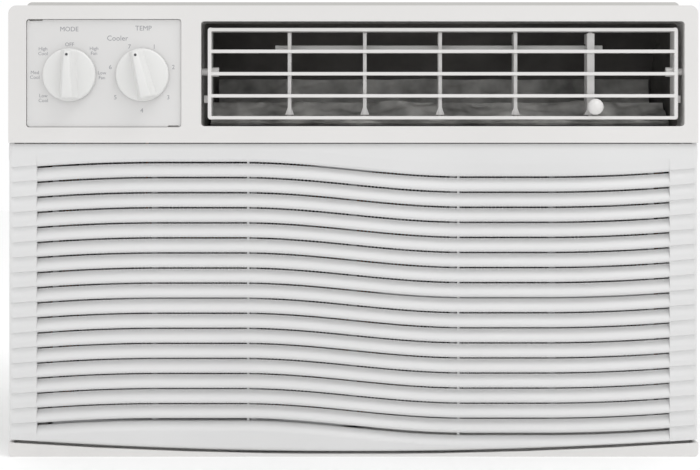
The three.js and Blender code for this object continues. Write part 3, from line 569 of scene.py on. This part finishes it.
def add_tube_run(shape, points, radius):
    """A round tube through X, depth, height points, closed at both ends."""
    sides = 10
    path = [to_world(*point) for point in points]
    rings = []
    side_way = None
    for i, point in enumerate(path):
        along = (path[min(i + 1, len(path) - 1)] - path[max(i - 1, 0)]).normalized()
        if side_way is None:
            side_way = along.orthogonal().normalized()
        side_way = (side_way - along * side_way.dot(along)).normalized()
        up_way = along.cross(side_way)
        ring = []
        for j in range(sides):
            turn = 2 * math.pi * j / sides
            offset = side_way * math.cos(turn) + up_way * math.sin(turn)
            ring.append(shape.verts.new(point + offset * radius * MM))
        rings.append(ring)
    join_and_cap_rings(shape, rings)


def coil_box(node):
    low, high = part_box(node)
    return (low[0] / MM, high[0] / MM, low[1] / MM - FACE, high[1] / MM - FACE, low[2] / MM, high[2] / MM)


def return_bend(side, edge, d, start, end):
    """Points of the bend that joins two tubes at one end of a coil."""
    middle, bend = (start + end) / 2, (end - start) / 2
    points = [(edge + side * TUBE["bend_start"], d, start)]
    for angle in range(-90, 91, 18):
        turn = math.radians(angle)
        reach = TUBE["bend_reach"] + bend * TUBE["bend_round"] * math.cos(turn)
        points.append((edge + side * reach, d, middle + bend * math.sin(turn)))
    points.append((edge + side * TUBE["bend_start"], d, end))
    return points


def add_coil(node):
    """Thin upright fins, with the tubes that pass through them and their return bends."""
    x0, x1, d0, d1, z0, z1 = coil_box(node)

    def build_fins(shape):
        half = FIN["thickness"] / 2
        for x in spaced(x0 + FIN["inset"], x1 - FIN["inset"], int((x1 - x0) / FIN["pitch"])):
            add_box(shape, x - half, x + half, d0, d1, z0, z1)

    def build_tubes(shape):
        pitch = TUBE["pitch"]
        heights = spaced(z0 + pitch / 2, z1 - pitch / 2, int((z1 - z0) / pitch))
        for d in [d0 + (d1 - d0) * share for share in TUBE_ROWS]:
            for z in heights:
                ends = [(x0 - TUBE["past_end"], d, z), (x1 + TUBE["past_end"], d, z)]
                add_tube_run(shape, ends, TUBE["radius"])
            for i, (start, end) in enumerate(zip(heights, heights[1:])):
                side, edge = (1, x1) if i % 2 else (-1, x0)
                add_tube_run(shape, return_bend(side, edge, d, start, end), TUBE["radius"])

    fins = add_object(f"{node}_fins", mesh_from(f"{node}_fins", build_fins), FIN_ALUMINIUM, 20)
    settle(fins, node)
    tubes = add_object(f"{node}_tubes", mesh_from(f"{node}_tubes", build_tubes), COPPER)
    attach(tubes, node_bodies[node])


add_coil("evaporator_coil")
add_coil("condenser_coil")


# ---------------------------------------------------------------- duct lining and foam pad

def even_path(corners, count):
    """Depth and height points spread evenly along straight runs between corners."""
    runs = [math.dist(a, b) for a, b in zip(corners, corners[1:])]
    path = []
    for reach in spaced(0, sum(runs), count):
        for (a, b), run in zip(zip(corners, corners[1:]), runs):
            if reach <= run or (a, b) == (corners[-2], corners[-1]):
                share = min(1, reach / run)
                path.append((a[0] + (b[0] - a[0]) * share, a[1] + (b[1] - a[1]) * share))
                break
            reach -= run
    return path


def add_lining(name, path, lump):
    """A crumpled sheet of foil-faced insulation laid along a path of depths and heights; its pale colour
    is partly painted light, standing for light that falls onto the lower duct walls.
    """
    thickness = LINING["thickness"]

    def build(shape):
        front, back = [], []
        for i, (d, z) in enumerate(path):
            front_row, back_row = [], []
            edge = 0.25 if i in (0, len(path) - 1) else 1
            for x in spaced(LINING["x0"], LINING["x1"], LINING["columns"]):
                broad = lumps.noise(Vector((x / 34, d / 21, z / 13)))
                fine = lumps.noise(Vector((x / 11, d / 9, z / 6)))
                lift = lump * edge * (0.9 * broad + 0.6 * fine)
                front_row.append((x, d - lift, z + lift))
                back_row.append((x, d - lift + thickness, z + lift - thickness))
            front.append(front_row)
            back.append(back_row)
        thick_grid(shape, front, back)

    sheet = add_object(name, mesh_from(name, build), FOIL_LINING_AND_PAINTED_LIGHT, 60)
    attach(sheet, "chassis")


def add_tube_seal():
    """The foam pad that closes the bulkhead around the tubes on the left."""
    def build(shape):
        add_box(shape, -229.5, -198, 153, 158, 8, 221)

    pad = add_object("tube_seal_pad", mesh_from("tube_seal_pad", build), DUCT_FOAM)
    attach(pad, "chassis")


# Pale sheets only on the lower front floor and lower back wall of the duct: painted light where light
# falls into the opening.
add_lining("duct_lining_front", even_path([(47, 227.5), (58, 231), (68, 237), (75, 242.5)], 22), 3.4)
add_lining("duct_lining_back", even_path([(136, 238), (139, 248), (140.5, 261)], 18), 2.6)
add_tube_seal()


# ---------------------------------------------------------------- controls

def grip_section(along):
    """Half width at the base, half width at the crest and depth of the crest, along the grip."""
    share = (along / KNOB["grip_reach"] + 1) / 2
    narrowing = 1.9 * share
    end = abs(along) / KNOB["grip_reach"]
    drop = 2.2 * end ** 2 + 7.5 * max(0, (end - 0.9) / 0.1) ** 2
    return 7.2 - narrowing, 3.6 - narrowing, KNOB["grip_front"] + drop


def build_grip(shape):
    """The raised grip of a knob about its axis, pointing up."""
    bottom = KNOB["front"] + 0.6
    front, back = [], []
    for along in spaced(-KNOB["grip_reach"], KNOB["grip_reach"], 61):
        base, crest, top = grip_section(along)
        chord = math.sqrt(max(0.1, KNOB["radius"] ** 2 - along ** 2)) - 0.5
        base, crest = min(base, chord), min(crest, chord * 0.7)
        row = [(-base, bottom)]
        for share in (0.04, 0.12, 0.25, 0.45, 0.65, 0.82, 0.93):
            row.append((-base + (base - crest) * share ** 0.8, bottom + (top - bottom) * share))
        row += [(-crest + 0.25, top + 0.15), (-crest + 0.9, top), (0, top - 0.1)]
        row += [(-x, d) for x, d in reversed(row[:-1])]
        front.append([(x, d, along) for x, d in row])
        back.append([(x, bottom + 0.4, along) for x, d in row])
    thick_grid_local(shape, front, back)


def build_skirt(shape):
    """The round skirt of a knob: a slightly domed disc with a rounded rim."""
    radius, front, back, rim = KNOB["radius"], KNOB["front"], KNOB["back"], KNOB["rim"]
    steps = 96
    axis_hole = 0.01
    profile = [(axis_hole, front - 0.9), (6, front - 0.8), (12, front - 0.5), (15.5, front - 0.15)]
    for angle in (0, 20, 40, 60, 80, 90):
        turn = math.radians(angle)
        profile.append((radius - rim + rim * math.sin(turn), front + rim - rim * math.cos(turn)))
    profile += [(radius, back), (axis_hole, back)]
    turns = [2 * math.pi * i / steps for i in range(steps)]
    rings = [[shape.verts.new(Vector((r * math.sin(turn), d, r * math.cos(turn))) * MM) for turn in turns]
             for r, d in profile]
    join_rings(shape, rings + rings[:1])


def around(knob, radius, angle):
    """X and height at a radius from a knob's axis, at an angle clockwise from straight up."""
    turn = math.radians(angle)
    return knob[0] + radius * math.sin(turn), knob[1] + radius * math.cos(turn)


def add_knob(node, place, angle):
    def build(shape):
        build_skirt(shape)
        build_grip(shape)
        turn = Matrix.Rotation(math.radians(angle), 4, "Y")
        move = Matrix.Translation(to_world(place[0], 0, place[1]))
        bmesh.ops.transform(shape, matrix=move @ turn, verts=shape.verts[:])

    knob = add_object(f"{node}_moulded", mesh_from(f"{node}_moulded", build), KNOB_PLASTIC, 50)
    settle(knob, node)


def add_pointer_dot(name, knob, angle, body):
    def build(shape):
        x, z = around(knob, POINTER_DOT["reach"], angle)
        move = Matrix.Translation(to_world(x, POINTER_DOT["d"], z))
        bmesh.ops.create_uvsphere(shape, u_segments=16, v_segments=8,
                                  radius=POINTER_DOT["radius"] * MM, matrix=move)

    dot = add_object(name, mesh_from(name, build), DOT_DARK)
    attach(dot, body)


def add_legend(name, text, x, z, size):
    curve = bpy.data.curves.new(name, "FONT")
    curve.body = text
    curve.size = size * MM
    curve.align_x = "CENTER"
    curve.align_y = "CENTER"
    curve.extrude = LEGEND_THICKNESS * MM
    curve.resolution_u = 3
    carrier = bpy.data.objects.new(f"{name}_outline", curve)
    mesh = bpy.data.meshes.new_from_object(carrier)
    bpy.data.objects.remove(carrier)
    move = Matrix.Translation(to_world(x, PLATE_FACE - LEGEND_THICKNESS, z))
    mesh.transform(move @ Matrix.Rotation(math.radians(90), 4, "X"))
    legend = add_object(name, mesh, PRINT_GREY)
    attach(legend, "chassis")


add_legend("legend_mode", "MODE", -193.7, 291.2, 4.5)
add_legend("legend_temp", "TEMP", -143.1, 291.8, 4.7)
add_legend("legend_off", "OFF", -193.5, 280.8, 3.6)
add_legend("legend_cooler", "Cooler", -160.8, 285, 5)
dial_middle = (TEMP_KNOB[0] - 0.5, TEMP_KNOB[1] - 1.8)
for digit, angle in enumerate((22, 72, 127, 180, 233, 288, 338), 1):
    add_legend(f"legend_{digit}", str(digit), *around(dial_middle, 22.6, angle), 4.2)
for word, kind, x, z in (
    ("High", "Fan", -176.8, 276.4), ("Low", "Fan", -171.4, 259.8),
    ("High", "Cool", -211.6, 276.2), ("Med", "Cool", -217.2, 260), ("Low", "Cool", -211.4, 244.2),
):
    add_legend(f"legend_{word}_{kind}".lower(), f"{word}\n{kind}", x, z, 3.3)

add_knob("mode_knob", MODE_KNOB, 0)
add_knob("temp_knob", TEMP_KNOB, TEMP_REST_ANGLE)
add_pointer_dot("mode_pointer_dot", MODE_KNOB, 0, "mode_control")
add_pointer_dot("temp_pointer_dot", TEMP_KNOB, TEMP_REST_ANGLE, "temp_control")


# ---------------------------------------------------------------- other CAD nodes

# Widths of the rounding on the edges of nodes that are finished with their own shape.
ROUNDED = {
    "front_bezel": 0.9, "control_plate": 0.4, "louver_frame": 0.35,
    "vane_link_bar": 0.4, "cabinet_shell": 0.25, "base_pan": 0.3, "control_box": 0.3, "fan_motor": 0.6,
    "compressor": 0.8, "accumulator": 0.6, "filter_drier": 0.3, "bulkhead": 0.2, "drain_plug": 0.4,
    "cord_inlet_bushing": 0.4, "blower_wheel": 0, "axial_fan": 0.3, "fan_shroud": 0.4,
    "blower_orifice_plate": 0.4, "discharge_duct": 0.6, "blower_scroll": 0.5, "motor_bracket": 0.3,
    "run_capacitor": 0.8, "drain_tray": 0.4, "mode_switch": 0.5, "thermostat": 0.4,
    **{f"vertical_vane_{index}": 0.3 for index in range(1, 6)},
}
BUILT_ANEW = ("intake_grille", "mode_knob", "temp_knob", "air_filter", "evaporator_coil", "condenser_coil")

for node, slot in node_slots.items():
    if node in ROUNDED:
        refined(node, ROUNDED[node])
    elif node not in BUILT_ANEW:
        dress(frame["nodes"][node], SLOT_MATERIALS[slot])
